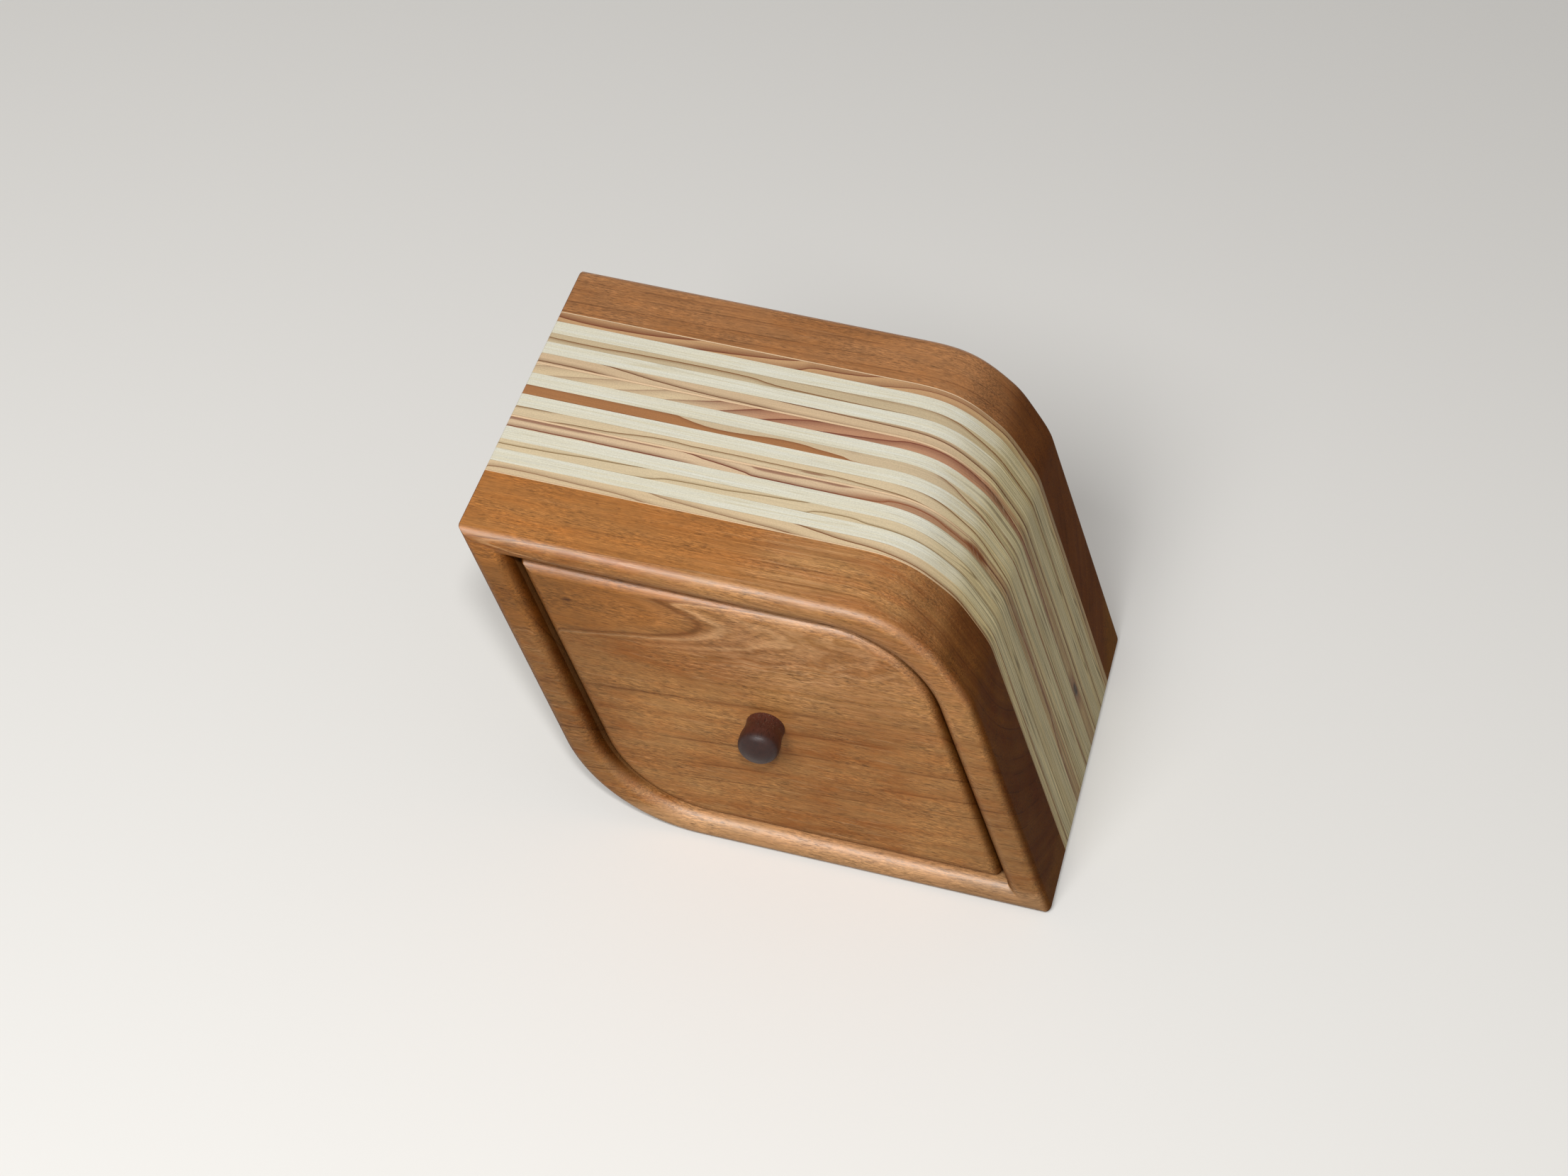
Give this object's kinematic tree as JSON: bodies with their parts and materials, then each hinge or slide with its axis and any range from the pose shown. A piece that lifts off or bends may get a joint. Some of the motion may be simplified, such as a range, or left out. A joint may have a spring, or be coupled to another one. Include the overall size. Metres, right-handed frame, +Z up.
{
  "type": "bandsaw box",
  "caption": "Small wooden bandsaw box with a leaning, two-cornered outline, a laminated cherry and plywood case and a full-width drawer with a turned knob.",
  "frame": {"origin": "centre of the bounding box on the surface that the box stands on", "axes": "+X to the right along the box's length, seen from the front; -Y out of the front, the way the drawer opens; +Z up"},
  "size_m": [0.1386, 0.0974, 0.085],
  "materials": {
    "cherry_case": "oiled cherry, satin, fine grain along the box's length",
    "cherry_drawer": "oiled cherry, satin, with a cathedral figure on the drawer's front",
    "plywood": "plywood edges, pale and tan plies in stripes, satin",
    "walnut": "dark walnut, satin"
  },
  "bodies": {
    "case": {"front_frame": "cherry_case", "case_plywood_front": "plywood", "case_plywood_middle": "plywood", "case_plywood_rear": "plywood", "back_ring": "cherry_case", "back_panel": "cherry_case"},
    "drawer": {"drawer_front": "cherry_drawer", "drawer_cherry_front": "cherry_drawer", "drawer_plywood_front": "plywood", "drawer_plywood_middle": "plywood", "drawer_plywood_rear": "plywood", "drawer_cherry_rear": "cherry_drawer", "drawer_back": "cherry_drawer", "knob": "walnut"}
  },
  "joints": [
    {"name": "drawer_slide", "type": "slide", "parent": "case", "child": "drawer", "axis": [0, -1, 0], "range_m": [0, 0.086]}
  ]
}
